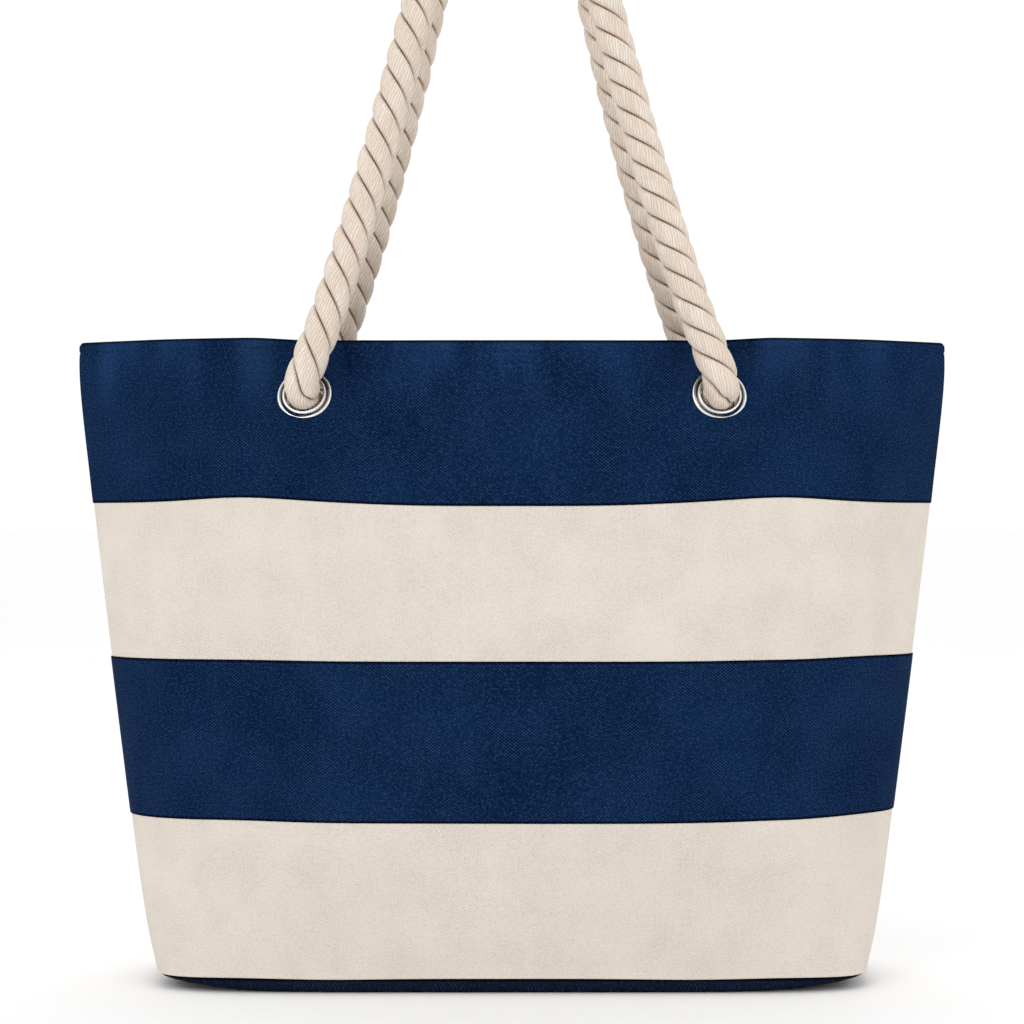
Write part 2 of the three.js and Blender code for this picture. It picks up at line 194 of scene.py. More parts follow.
def pucker(x, z):
    """How far the rope's pull tips the cloth back at (x, z), towards the inside."""
    shift = np.zeros_like(x)
    for side in (-1, 1):
        r = np.hypot(x - side * GROMMET_X, z - GROMMET_Z)
        held = 1 - smoothstep((r - PUCKER_FLAT) / (PUCKER_END - PUCKER_FLAT))
        shift += held * math.tan(GROMMET_TILT) * (z - GROMMET_Z)
    return shift


SAG = 1.6 * MM
SAG_WIDTH, SAG_HEIGHT = 0.11, 0.085
SAG_DETAIL, SAG_DETAIL_SCALE = 0.35, 2.3
RIPPLE = 0.45 * MM
RIPPLE_WIDTH, RIPPLE_HEIGHT = 0.028, 0.045
RIPPLE_SEED = 7
HELD_EDGE = 0.05
SIDE_VALLEY = 0.8 * MM


def sag(x, z, seed):
    """Soft hollows and swellings of the canvas, none at the side seams, the foot or the grommets."""
    z = min(max(z, 0), BAG_HEIGHT)
    place = Vector((x / SAG_WIDTH, z / SAG_HEIGHT, seed))
    broad = noise.noise(place) + SAG_DETAIL * noise.noise(place * SAG_DETAIL_SCALE)
    fine = noise.noise(Vector((x / RIPPLE_WIDTH, z / RIPPLE_HEIGHT, seed + RIPPLE_SEED)))
    near = min(math.hypot(abs(x) - GROMMET_X, z - GROMMET_Z) / PUCKER_END, 1)
    free = near**2 * min(1, (half_width(z) - abs(x)) / HELD_EDGE) * min(1, z / HELD_EDGE)
    return free * (SAG * broad + RIPPLE * fine)


FOLD_HEIGHT = 0.7 * MM
FOLD_RISE = 12 * MM
FOLD_FADE_START = 30 * MM
FOLD_FADE = 60 * MM
FOLDS_ROUND = 5
FOLD_TURN = 0.6


def grommet_folds(x, z):
    """Small folds that run out from each grommet, below it and to its sides."""
    dx = abs(x) - GROMMET_X
    dz = z - GROMMET_Z
    r = math.hypot(dx, dz)
    ring = smoothstep((r - PUCKER_FLAT) / FOLD_RISE) * (1 - smoothstep((r - FOLD_FADE_START) / FOLD_FADE))
    return FOLD_HEIGHT * float(ring) * math.cos(FOLDS_ROUND * math.atan2(dx, -dz) + FOLD_TURN)


# How far each seam hangs above its cut height: in the middle, at the ropes, and at the left and right ends.
SEAM_HANG = {
    0.0: (0, 0, 0, 0),
    BASE_SEAM: (0.8 * MM, 0.9 * MM, 0, 0),
    SEAMS[0]: (0, 1.0 * MM, 0, 2.6 * MM),
    SEAMS[1]: (0, 0.5 * MM, 0, 1.7 * MM),
    SEAMS[2]: (-1.9 * MM, 2.9 * MM, 0, 0),
    BAG_HEIGHT: (0, 2.0 * MM, 1.8 * MM, 1.8 * MM),
}
HANG_MIDDLE = 85 * MM
HANG_ROPE_X = 152 * MM
HANG_ROPE_REACH = 38 * MM
HANG_END_START = 150 * MM
HANG_END_REACH = 60 * MM


def hang(x, z):
    """How far the cloth at (x, z) hangs above its cut height."""
    heights = list(SEAM_HANG)
    middle, rope, left, right = (
        np.interp(z, heights, [SEAM_HANG[h][i] for h in heights]) for i in range(4)
    )
    lift = middle * np.exp(-((x / HANG_MIDDLE) ** 4))
    lift += rope * np.exp(-(((np.abs(x) - HANG_ROPE_X) / HANG_ROPE_REACH) ** 2))
    lift += left * smoothstep((-x - HANG_END_START) / HANG_END_REACH)
    lift += right * smoothstep((x - HANG_END_START) / HANG_END_REACH)
    return lift


def shell_points(rows, columns, half, seed=0):
    """Points of a panel. rows are (height, offset outwards); half is -1 in front and 1 behind."""
    grid, cloth = [], []
    for z, offset in rows:
        points, normals, along = section(z, columns)
        swell = np.array([sag(x, z, seed) + grommet_folds(x, z) for x in points[:, 0]])
        swell[0] = swell[-1] = -SIDE_VALLEY
        moved = points + normals * (offset + swell)[:, None]
        y = moved[:, 1] + pucker(points[:, 0], z)
        y[0] = y[-1] = 0
        x = moved[:, 0]
        grid.append(np.stack([x, -half * y, z + hang(x, z)], axis=1))
        cloth.append(np.stack([along, np.full_like(along, z), along[-1] - np.abs(along)], axis=1))
    return np.array(grid), np.array(cloth)


# ---------------------------------------------------------------- meshes


def mesh_object(name, vertices, faces, material, slot, attributes=None):
    """A smooth piece with its material, and one value or vector a vertex for each attribute. slot is not
    used.
    """
    mesh = bpy.data.meshes.new(name)
    mesh.from_pydata([tuple(v) for v in vertices], [], faces)
    for key, values in (attributes or {}).items():
        values = np.asarray(values, np.float32)
        kind, field = ("FLOAT", "value") if values.ndim == 1 else ("FLOAT_VECTOR", "vector")
        mesh.attributes.new(key, kind, "POINT").data.foreach_set(field, values.ravel())
    mesh.polygons.foreach_set("use_smooth", [True] * len(mesh.polygons))
    mesh.materials.append(material)
    mesh.update()
    piece = bpy.data.objects.new(name, mesh)
    bpy.context.scene.collection.objects.link(piece)
    return piece


def grid_faces(rows, columns, flip=False, wrap=False):
    """Quads between rows of points; wrap joins each row's last point to its first."""
    faces = []
    for r in range(rows - 1):
        for c in range(columns if wrap else columns - 1):
            n = (c + 1) % columns
            face = (r * columns + c, r * columns + n, (r + 1) * columns + n, (r + 1) * columns + c)
            faces.append(face[::-1] if flip else face)
    return faces


def thicken(piece, thickness):
    solid = piece.modifiers.new("thickness", "SOLIDIFY")
    solid.thickness = thickness
    solid.offset = -1
    solid.use_even_offset = False


# ---------------------------------------------------------------- materials


class Nodes:
    """A short way to build one material's node tree."""

    def __init__(self, name, roughness, **values):
        self.material = bpy.data.materials.new(name)
        self.material.use_nodes = True
        self.tree = self.material.node_tree
        self.shader = self.tree.nodes["Principled BSDF"]
        self.shader.inputs["Roughness"].default_value = roughness
        for key, value in values.items():
            self.shader.inputs[key.replace("_", " ")].default_value = value

    def set(self, socket, value):
        if isinstance(value, bpy.types.NodeSocket):
            self.tree.links.new(value, socket)
        else:
            socket.default_value = value

    def math(self, operation, *values):
        node = self.tree.nodes.new("ShaderNodeMath")
        node.operation = operation
        for socket, value in zip(node.inputs, values):
            self.set(socket, value)
        return node.outputs[0]

    def attribute(self, name):
        node = self.tree.nodes.new("ShaderNodeAttribute")
        node.attribute_name = name
        return node

    def position(self):
        return self.tree.nodes.new("ShaderNodeTexCoord").outputs["Object"]

    def parts(self, vector):
        node = self.tree.nodes.new("ShaderNodeSeparateXYZ")
        self.set(node.inputs[0], vector)
        return node.outputs

    def scaled(self, vector, scale):
        node = self.tree.nodes.new("ShaderNodeVectorMath")
        node.operation = "MULTIPLY"
        self.set(node.inputs[0], vector)
        node.inputs[1].default_value = scale
        return node.outputs[0]

    def noise(self, vector, scale, detail=3.0, roughness=0.5):
        node = self.tree.nodes.new("ShaderNodeTexNoise")
        self.set(node.inputs["Vector"], vector)
        node.inputs["Scale"].default_value = scale
        node.inputs["Detail"].default_value = detail
        node.inputs["Roughness"].default_value = roughness
        return node.outputs["Fac"]

    def ramp(self, value, stops):
        node = self.tree.nodes.new("ShaderNodeValToRGB")
        self.set(node.inputs[0], value)
        elements = node.color_ramp.elements
        while len(elements) < len(stops):
            elements.new(0.5)
        for element, (place, colour) in zip(elements, stops):
            element.position = place
            element.color = (*colour, 1)
        return node.outputs[0]

    def fade(self, value, start, end, low=0.0, high=1.0):
        """A grey that goes from low to high while the value goes from start to end."""
        return self.ramp(value, [(start, (low,) * 3), (end, (high,) * 3)])

    def blotches(self, vector, scale, dark, light, detail=3.0):
        """Noise between two colours, each given with the noise value where it starts."""
        return self.ramp(self.noise(vector, scale, detail), [dark, light])

    def mix(self, factor, a, b, blend="MIX"):
        node = self.tree.nodes.new("ShaderNodeMix")
        node.data_type = "RGBA"
        node.blend_type = blend
        for index, value in ((0, factor), (6, a), (7, b)):
            if isinstance(value, tuple) and len(value) == 3:
                value = (*value, 1)
            self.set(node.inputs[index], value)
        return node.outputs[2]

    def bump(self, height, distance):
        node = self.tree.nodes.new("ShaderNodeBump")
        self.set(node.inputs["Height"], height)
        node.inputs["Distance"].default_value = distance
        self.tree.links.new(node.outputs[0], self.shader.inputs["Normal"])

    def colour(self, value):
        self.set(self.shader.inputs["Base Color"], value)


def srgb(r, g, b):
    """An sRGB colour, 0 to 255, as linear light."""
    linear = []
    for channel in (r / 255, g / 255, b / 255):
        linear.append(channel / 12.92 if channel <= 0.04045 else ((channel + 0.055) / 1.055) ** 2.4)
    return tuple(linear)


TWILL = 1.75 * MM
RIB_SLOPE = 0.8
CROSS_RIB = 0.28
WANDER = 0.9 * MM
WANDER_SCALE = 70
SLUB_HEIGHT = 2.6
SLUB_SCALE = (700, 900, 1)
STRENGTH_SCALE = 38
WEAKEST_RIB = 0.25
PATCH_SCALE = 14
PATCH_STRETCH = (1, 1.5, 1)
# Painted shade: the colour painted into the weave's hollows, as a part of the shade colour.
WEAVE_HOLLOW_PAINTED_SHADE = 0.45
# How wide the painted seam line of light and shade is.
EDGE_LINE = 2.6 * MM
# Painted sheen under the rim: how far down it reaches, and the size and stretch of its spots.
PAINTED_SHEEN_DEPTH = 45 * MM
PAINTED_SHEEN_SCALE = 22
PAINTED_SHEEN_STRETCH = (1, 0.4, 1)


def weave_height(n, cloth, twill):
    """Diagonal ribs broken by the crossing threads, stronger in patches, with slubs."""
    u, v, _ = n.parts(cloth)
    wander = n.math("MULTIPLY", n.noise(cloth, WANDER_SCALE), WANDER)
    falling = n.math("ADD", n.math("MULTIPLY_ADD", u, RIB_SLOPE, v), wander)
    rising = n.math("ADD", n.math("MULTIPLY_ADD", u, -RIB_SLOPE, v), wander)
    rib = n.math("SINE", n.math("MULTIPLY", falling, 2 * math.pi / twill))
    cross = n.math("SINE", n.math("MULTIPLY", rising, 2 * math.pi / twill))
    slub = n.math("SUBTRACT", n.noise(n.scaled(cloth, SLUB_SCALE), 1.0, 2.0), 0.5)
    strength = n.fade(n.noise(cloth, STRENGTH_SCALE, 2.0), 0.38, 0.62, low=WEAKEST_RIB)
    crossed = n.math("MULTIPLY_ADD", cross, CROSS_RIB, n.math("MULTIPLY", rib, 0.5))
    return n.math("MULTIPLY_ADD", slub, SLUB_HEIGHT, n.math("MULTIPLY", crossed, strength))


def painted_rim_sheen(n, cloth, patches, painted_sheen):
    """Painted sheen: the patches mixed towards lighter painted spots that grow stronger towards the rim."""
    _, v, _ = n.parts(cloth)
    above = n.math("SUBTRACT", v, BAG_HEIGHT - PAINTED_SHEEN_DEPTH)
    near_rim = n.math("MINIMUM", n.math("MAXIMUM", n.math("DIVIDE", above, PAINTED_SHEEN_DEPTH), 0.0), 1.0)
    spots = n.fade(n.noise(n.scaled(cloth, PAINTED_SHEEN_STRETCH), PAINTED_SHEEN_SCALE, 1.0), 0.48, 0.7)
    return n.mix(n.math("MULTIPLY", near_rim, spots), patches, painted_sheen)


def painted_seam_line(n, cloth, colour, edge):
    """Painted seam line: the colour multiplied by edge in a line along the seams and the side seam, painted
    shade where edge is dark and a painted highlight where it is above one.
    """
    _, _, from_side = n.parts(cloth)
    nearest = n.math("DIVIDE", n.math("MINIMUM", from_side, n.attribute("edge").outputs["Fac"]), EDGE_LINE)
    return n.mix(1.0, colour, n.ramp(nearest, [(0.3, edge), (0.75, (1, 1, 1))]), "MULTIPLY")


def canvas_material(
    name, shades, specular=0.03, twill=TWILL, depth=0.22 * MM, weave_fleck_and_painted_light=0.5, edge=None, painted_sheen=None
):
    """Twill-woven canvas from its shade, body and light colours, with worn patches, painted highlight and
    shade on the weave, and, when given, a painted sheen under the rim and a painted seam line.

    The cloth attribute holds the distance along the cloth, the height, and the distance from the side seam.
    """
    shade, body, light = shades
    n = Nodes(name, 0.86, Specular_IOR_Level=specular)
    cloth = n.attribute("cloth").outputs["Vector"]
    weave = weave_height(n, cloth, twill)
    patches = n.blotches(n.scaled(cloth, PATCH_STRETCH), PATCH_SCALE, (0.35, shade), (0.68, body), 2.0)
    if painted_sheen:
        patches = painted_rim_sheen(n, cloth, patches, painted_sheen)
    # Painted light and shade on the weave: crests lighter, part lighter yarn flecks and part painted
    # highlight; hollows darker with painted shade.
    crest_fleck_and_highlight = n.math("MULTIPLY", n.math("MAXIMUM", weave, 0.0), weave_fleck_and_painted_light)
    hollow_painted_shade = n.math("MULTIPLY", n.math("MAXIMUM", n.math("MULTIPLY", weave, -1.0), 0.0), weave_fleck_and_painted_light)
    colour = n.mix(hollow_painted_shade, n.mix(crest_fleck_and_highlight, patches, light), tuple(WEAVE_HOLLOW_PAINTED_SHADE * c for c in shade))
    if edge:
        colour = painted_seam_line(n, cloth, colour, edge)
    n.colour(colour)
    n.bump(weave, depth)
    return n.material


NAVY = (srgb(6, 27, 58), srgb(12, 37, 70), srgb(58, 92, 138))
# Painted shadow: a darker copy of the navy, for the base that sits in the bag's shadow.
NAVY_IN_SHADOW = (srgb(12, 21, 38), srgb(18, 29, 48), srgb(50, 66, 96))
# Painted shade: the navy is darkened to this in a line along its seams, its rim and its side seams.
NAVY_PAINTED_SEAM_SHADE = (0.12, 0.12, 0.14)
# Painted sheen: the colour of the lighter spots painted under the navy's rim.
NAVY_PAINTED_SHEEN = srgb(28, 58, 98)
CREAM = (srgb(218, 208, 197), srgb(223, 213, 202), srgb(242, 235, 226))
# Painted highlight: the cream is lightened by this in a line along its seams.
CREAM_PAINTED_SEAM_HIGHLIGHT = (1.06, 1.06, 1.07)
LINING_CREAM = (srgb(186, 176, 158), srgb(200, 190, 174), srgb(214, 206, 192))
CREAM_SPECULAR = 0.2

navy_canvas = canvas_material("navy_canvas", NAVY, edge=NAVY_PAINTED_SEAM_SHADE, painted_sheen=NAVY_PAINTED_SHEEN)
base_navy_painted_shadow_canvas = canvas_material("base_navy_painted_shadow_canvas", NAVY_IN_SHADOW, edge=NAVY_PAINTED_SEAM_SHADE)
cream_canvas = canvas_material(
    "cream_canvas", CREAM, CREAM_SPECULAR, depth=0.16 * MM, weave_fleck_and_painted_light=0.26, edge=CREAM_PAINTED_SEAM_HIGHLIGHT
)
lining_cloth = canvas_material(
    "lining_cloth", LINING_CREAM, CREAM_SPECULAR, twill=0.9 * MM, depth=0.08 * MM, weave_fleck_and_painted_light=0.2
)


YARNS_ROUND = 38
YARN_TWIST = -0.012 / MM
YARN_WANDER = 9.0
YARN_HEIGHT = 0.4
YARN_HOLLOW = 0.55
# How finely each noise repeats along the rope, round it, and from strand to strand.
COARSE_SCALE = (120, 3, 40)
FIBRE_SCALE = (260, 34, 40)
TONE_SCALE = (40, 1, 40)
TINT_SCALE = (55, 0.9, 30)
TINT_STRENGTH = 0.6
ROPE_DULL, ROPE_LIGHT = srgb(229, 215, 197), srgb(248, 239, 226)
ROPE_TINT = srgb(238, 219, 204)
YARN_SHADE = srgb(194, 166, 144)
GROOVE_SHADE = srgb(128, 92, 74)


def rope_material():
    """Twisted cotton: yarns nearly along the rope, a warm painted shade in the hollows between yarns and down
    in the grooves between strands, and loose fibre.

    The strand attribute holds the distance along the rope, the angle round it, and the strand's number.
    """
    n = Nodes("cotton_rope", 0.9, Specular_IOR_Level=0.2, Sheen_Weight=0.1, Sheen_Roughness=0.5)
    place = n.attribute("strand").outputs["Vector"]
    along, around, _ = n.parts(place)
    coarse = n.noise(n.scaled(place, COARSE_SCALE), 1.0, 2.0)
    turned = n.math("MULTIPLY", around, YARNS_ROUND)
    phase = n.math("MULTIPLY_ADD", along, YARN_TWIST * YARNS_ROUND, turned)
    yarn = n.math("SINE", n.math("MULTIPLY_ADD", coarse, YARN_WANDER, phase))
    fibre = n.noise(n.scaled(place, FIBRE_SCALE), 1.0, 4.0, 0.65)
    tone = n.math("ADD", n.noise(n.scaled(place, TONE_SCALE), 1.0, 3.0), n.math("MULTIPLY", fibre, 0.3))
    body = n.ramp(tone, [(0.45, ROPE_DULL), (0.85, ROPE_LIGHT)])
    tint = n.fade(n.noise(n.scaled(place, TINT_SCALE), 1.0, 1.0), 0.42, 0.62, high=TINT_STRENGTH)
    # Painted shade: darker in the hollows between yarns and down in the grooves between strands.
    hollow = n.math("MULTIPLY", n.math("MAXIMUM", n.math("MULTIPLY", yarn, -1.0), 0.0), YARN_HOLLOW)
    lined = n.mix(hollow, n.mix(tint, body, ROPE_TINT), YARN_SHADE)
    groove = n.fade(n.attribute("depth").outputs["Fac"], 0.25, 0.85)
    n.colour(n.mix(groove, lined, GROOVE_SHADE))
    n.bump(n.math("MULTIPLY_ADD", yarn, YARN_HEIGHT, fibre), 0.4 * MM)
    return n.material


PLATE_SMOOTHEST = 0.08
PLATE_DULLING = 0.16
# Painted shade: the near-black that darkens the nickel in its hollows and where it meets the cloth.
HOLLOW_PAINTED_SHADE = srgb(22, 21, 20)


def nickel_material():
    """Polished nickel plate with fine turning marks, small scratches, and near-black painted shade in its
    groove, down its bore, on its back and where it meets the cloth.
    """
    n = Nodes("polished_nickel", PLATE_SMOOTHEST, Metallic=1.0)
    place = n.position()
    dulled = n.math("MULTIPLY_ADD", n.noise(place, 300, 4.0), PLATE_DULLING, PLATE_SMOOTHEST)
    n.set(n.shader.inputs["Roughness"], dulled)
    plate = n.blotches(place, 60, (0.3, srgb(214, 212, 210)), (0.7, srgb(244, 242, 240)))
    n.colour(n.mix(n.attribute("painted_shade").outputs["Fac"], plate, HOLLOW_PAINTED_SHADE))
    n.bump(n.noise(place, 1400, 2.0), 0.02 * MM)
    return n.material


def thread_material(name, dark, light):
    """Twisted sewing thread."""
    n = Nodes(name, 0.8, Specular_IOR_Level=0.05)
    place = n.position()
    n.colour(n.blotches(place, 900, (0.35, dark), (0.65, light), 2.0))
    n.bump(n.noise(place, 2500, 2.0), 0.08 * MM)
    return n.material


def board_material():
    """Grey stiffener board with pressed fibres."""
    n = Nodes("stiffener_board", 0.75)
    place = n.position()
    n.colour(n.blotches(place, 180, (0.35, srgb(48, 48, 50)), (0.65, srgb(72, 71, 70)), 5.0))
    n.bump(n.noise(place, 900, 3.0), 0.06 * MM)
    return n.material


cotton_rope = rope_material()
polished_nickel = nickel_material()
navy_thread = thread_material("navy_thread", srgb(10, 30, 64), srgb(34, 64, 110))
cream_thread = thread_material("cream_thread", srgb(206, 196, 178), srgb(236, 228, 214))
stiffener_board = board_material()

# ---------------------------------------------------------------- cords: the two rope handles

HALVES = {"front": -1, "rear": 1}
SIDES = {"left": -1, "right": 1}
TURN_REACH = 8 * MM


def front_panel_y(x):
    """The front panel's surface at x, at the grommets' height."""
    points, _, _ = section(GROMMET_Z, 400)
    return float(np.interp(x, points[:, 0], points[:, 1]))


HOLE_Y = front_panel_y(GROMMET_X)
INNER_Y, OUTER_Y = front_panel_y(GROMMET_X - TURN_REACH), front_panel_y(GROMMET_X + TURN_REACH)
PANEL_TURN = (OUTER_Y - INNER_Y) / (2 * TURN_REACH)


def hole_centre(half, side):
    return Vector((side * GROMMET_X, -half * HOLE_Y, GROMMET_Z))


def hole_axis(half, side):
    return Vector((side * PANEL_TURN, half, math.tan(GROMMET_TILT))).normalized()


CURVE_STEPS = 40


def distance_along(points):
    return np.concatenate([[0], np.cumsum(np.linalg.norm(np.diff(points, axis=0), axis=1))])


def smooth_path(points, step):
    """Points every `step` along one smooth curve through the given ones, and their distances along it."""
    points = [np.array(p, float) for p in points]
    points = [2 * points[0] - points[1]] + points + [2 * points[-1] - points[-2]]
    dense = []
    for a, b, c, d in zip(points, points[1:], points[2:], points[3:]):
        square = 2 * a - 5 * b + 4 * c - d
        cube = 3 * b - a - 3 * c + d
        for t in np.linspace(0, 1, CURVE_STEPS, endpoint=False):
            dense.append(0.5 * (2 * b + (c - a) * t + square * t**2 + cube * t**3))
    dense.append(points[-2])
    dense = np.array(dense)
    along = distance_along(dense)
    even = np.linspace(0, along[-1], max(2, int(along[-1] / step)) + 1)
    return np.stack([np.interp(even, along, dense[:, i]) for i in range(3)], axis=1), even


def path_frames(path):
    """Two directions square to the path at each point, turned as little as possible along it."""
    tangents = np.gradient(path, axis=0)
    tangents /= np.linalg.norm(tangents, axis=1)[:, None]
    first = np.cross(tangents[0], (0, 0, 1) if abs(tangents[0][2]) < 0.8 else (1, 0, 0))
    normals = [first / np.linalg.norm(first)]
    for tangent in tangents[1:]:
        carried = normals[-1] - tangent * normals[-1].dot(tangent)
        normals.append(carried / np.linalg.norm(carried))
    normals = np.array(normals)
    return normals, np.cross(tangents, normals)


GROOVE = 0.52
STRAND_SPREAD = math.radians(59.2)
STRAND_FLATNESS, STRAND_ROUNDNESS = 2.5, 0.31
STRAND_BACK_ANGLES, STRAND_BACK_RADII = [0.8, 0.0, -0.8], [0.2, 0.06, 0.2]
STRAND_UNEVEN, STRAND_UNEVEN_LENGTH = 0.035, 0.012
STRANDS = 3


def strand_outline(count):
    """One strand's cross-section about the rope's centre: angle off the strand's middle, and radius."""
    t = np.sin(np.linspace(-math.pi / 2, math.pi / 2, count))
    radius = GROOVE + (1 - GROOVE) * (1 - np.abs(t) ** STRAND_FLATNESS) ** STRAND_ROUNDNESS
    angles = np.concatenate([t * STRAND_SPREAD, STRAND_BACK_ANGLES])
    return angles, np.concatenate([radius, STRAND_BACK_RADII])


def round_path(normals, binormals, angle):
    """Directions away from the path, at each point and each angle."""
    return normals[:, None] * np.cos(angle)[..., None] + binormals[:, None] * np.sin(angle)[..., None]


def tube_faces(rows, count, start=0):
    """The faces of a closed tube whose first vertex is number start."""
    last = start + (rows - 1) * count
    faces = [tuple(start + i for i in face) for face in grid_faces(rows, count, wrap=True)]
    return faces + [tuple(range(start, start + count))[::-1], tuple(range(last, last + count))]


def laid_rope(path, along, diameter, lay, phase=0.0, around=20):
    """Vertices, faces and attributes of three strands laid round the path. diameter has one value a point."""
    normals, binormals = path_frames(path)
    angle, reach = strand_outline(around)
    count = len(angle)
    rows = len(path)
    vertices, faces, place, depth = [], [], [], []
    for k in range(STRANDS):
        middle = phase + 2 * math.pi * k / STRANDS - 2 * math.pi * along / lay
        turn = middle[:, None] + angle[None]
        swell = [noise.noise(Vector((s / STRAND_UNEVEN_LENGTH, k * 5, phase))) for s in along]
        radius = (diameter / 2 * (1 + STRAND_UNEVEN * np.array(swell)))[:, None] * reach[None]
        ring = path[:, None] + radius[..., None] * round_path(normals, binormals, turn)
        faces += tube_faces(rows, count, len(vertices))
        vertices.extend(ring.reshape(-1, 3))
        depth.extend(np.tile((1 - reach) / (1 - GROOVE), rows))
        place.extend(np.stack(np.broadcast_arrays(along[:, None], turn, 1.0 * k), axis=-1).reshape(-1, 3))
    return vertices, faces, {"strand": place, "depth": depth}


def rope_object(name, strands):
    vertices, faces, attributes = strands
    return mesh_object(name, vertices, faces, cotton_rope, "cotton_rope", attributes)


LEG_POINTS = 6
ARCH_TURNS = 8


def half_handle(radius):
    """The left half of a handle as (x, z): a leg that flares out to the pivot, then half of the arch."""
    slant = math.atan(LEG_SLANT)
    arch_x = radius * math.cos(slant)
    arch_centre = APEX_Z - radius
    arch_foot = arch_centre + radius * math.sin(slant)
    leg_height = arch_foot - PIVOT.z
    flare = GROMMET_X - arch_x - LEG_SLANT * leg_height
    points = []
    for i in range(LEG_POINTS):
        t = 1 - i / LEG_POINTS
        points.append((-arch_x - LEG_SLANT * leg_height * t - flare * t**3, arch_foot - leg_height * t))
    for i in range(ARCH_TURNS // 2 + 1):
        angle = math.pi - slant - (math.pi - 2 * slant) * i / ARCH_TURNS
        points.append((radius * math.cos(angle), arch_centre + radius * math.sin(angle)))
    return points


BEHIND_HOLE = 15 * MM
AHEAD_OF_HOLE = 8.5 * MM
LEG_START_IN, LEG_START_BACK, LEG_START_UP = 1.5 * MM, 12 * MM, 13.5 * MM


def handle_route(half):
    """The handle's route: knot, grommet, slanted leg, arch, and the same down the other side."""
    lean = (APEX_HALF_GAP + PIVOT.y) / (APEX_Z - PIVOT.z)
    centre = hole_centre(half, -1)
    axis = hole_axis(half, -1)
    route = [centre - axis * BEHIND_HOLE, centre, centre + axis * AHEAD_OF_HOLE]
    route.append(centre + Vector((LEG_START_IN, half * LEG_START_BACK, LEG_START_UP)))
    for x, z in half_handle(ARCH_RADIUS[half])[1:]:
        route.append(Vector((x, half * (-PIVOT.y + (z - PIVOT.z) * lean), z)))
    mirror = [Vector((-p.x, p.y, p.z)) for p in route[-2::-1]]
    return route + mirror


ROPE_STEP = 1.1 * MM
ROPE_SQUEEZE = 0.07
SQUEEZE_REACH = 6 * MM
HANDLE_PHASE = 0.9


def make_handle(word):
    """A whole rope handle, from knot to knot."""
    half = HALVES[word]
    path, along = smooth_path(handle_route(half), ROPE_STEP)
    holes = [np.array(hole_centre(half, side)) for side in SIDES.values()]
    from_hole = np.minimum(*(np.linalg.norm(path - hole, axis=1) for hole in holes))
    diameter = ROPE_DIAMETER * (1 - ROPE_SQUEEZE * np.exp(-((from_hole / SQUEEZE_REACH) ** 2)))
    strands = laid_rope(path, along, diameter, ROPE_LAY, phase=HANDLE_PHASE + half, around=26)
    rope = rope_object(f"{word}_handle_rope", strands)
    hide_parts(f"{word}_rope_handle", *(f"{word}_{side}_rope_in_grommet" for side in SIDES))
    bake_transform(rope)


for word in HALVES:
    make_handle(word)

# ---------------------------------------------------------------- rope knots and whipped ends


KNOT_WIDE, KNOT_THICK, KNOT_HIGH = 5.6 * MM, 7.2 * MM, 5.0 * MM
KNOT_POINTS = 181
KNOT_ROPE = 0.76
KNOT_LAY = 0.8


def make_knot(word, side_word):
    """An overhand knot in the rope's end, its flat side along the panel."""
    half, side = HALVES[word], SIDES[side_word]
    centre = hole_centre(half, side) - hole_axis(half, side) * KNOT_IN
    t = np.linspace(0, 2 * math.pi, KNOT_POINTS)
    x = KNOT_WIDE * (np.sin(t) + 2 * np.sin(2 * t))
    y = side * half * KNOT_THICK * np.sin(3 * t)
    z = KNOT_HIGH * (np.cos(t) - 2 * np.cos(2 * t))
    path = np.stack([x, y, z], axis=1) + np.array(centre)
    diameter = np.full(KNOT_POINTS, KNOT_ROPE * ROPE_DIAMETER)
    strands = laid_rope(path, distance_along(path), diameter, KNOT_LAY * ROPE_LAY)
    knot = rope_object(f"{word}_{side_word}_overhand_knot", strands)
    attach(knot, "bag")
    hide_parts(f"{word}_{side_word}_rope_knot")


TAIL_STEP = 1.5 * MM
TAIL_IN_KNOT = 4 * MM
TAIL_TAPER = 0.12
TAPER_START, TAPER_LENGTH = 12 * MM, 6 * MM
TWINE = 0.7 * MM
TWINE_TURNS, TWINE_STEPS, TWINE_SIDES = 9, 40, 8
TWINE_PITCH = 1.35 * MM
TWINE_START = 4 * MM
TWINE_SEAT = 0.44 * ROPE_DIAMETER + TWINE * 0.6


def make_whipping(word, side_word, x, y, bottom):
    """The twine that binds the rope's end, one coil round it."""
    angle = np.linspace(0, 2 * math.pi * TWINE_TURNS, TWINE_TURNS * TWINE_STEPS + 1)
    rise = bottom + TWINE_START + angle / (2 * math.pi) * TWINE_PITCH
    coil = np.stack([x + TWINE_SEAT * np.cos(angle), y + TWINE_SEAT * np.sin(angle), rise], axis=1)
    spin = np.linspace(0, 2 * math.pi, TWINE_SIDES, endpoint=False)
    rings = coil[:, None] + TWINE * round_path(*path_frames(coil), spin[None])
    faces = tube_faces(len(coil), TWINE_SIDES)
    name = f"{word}_{side_word}_whipping"
    whipping = mesh_object(name, rings.reshape(-1, 3), faces, cream_thread, "whipping_twine")
    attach(whipping, "bag")


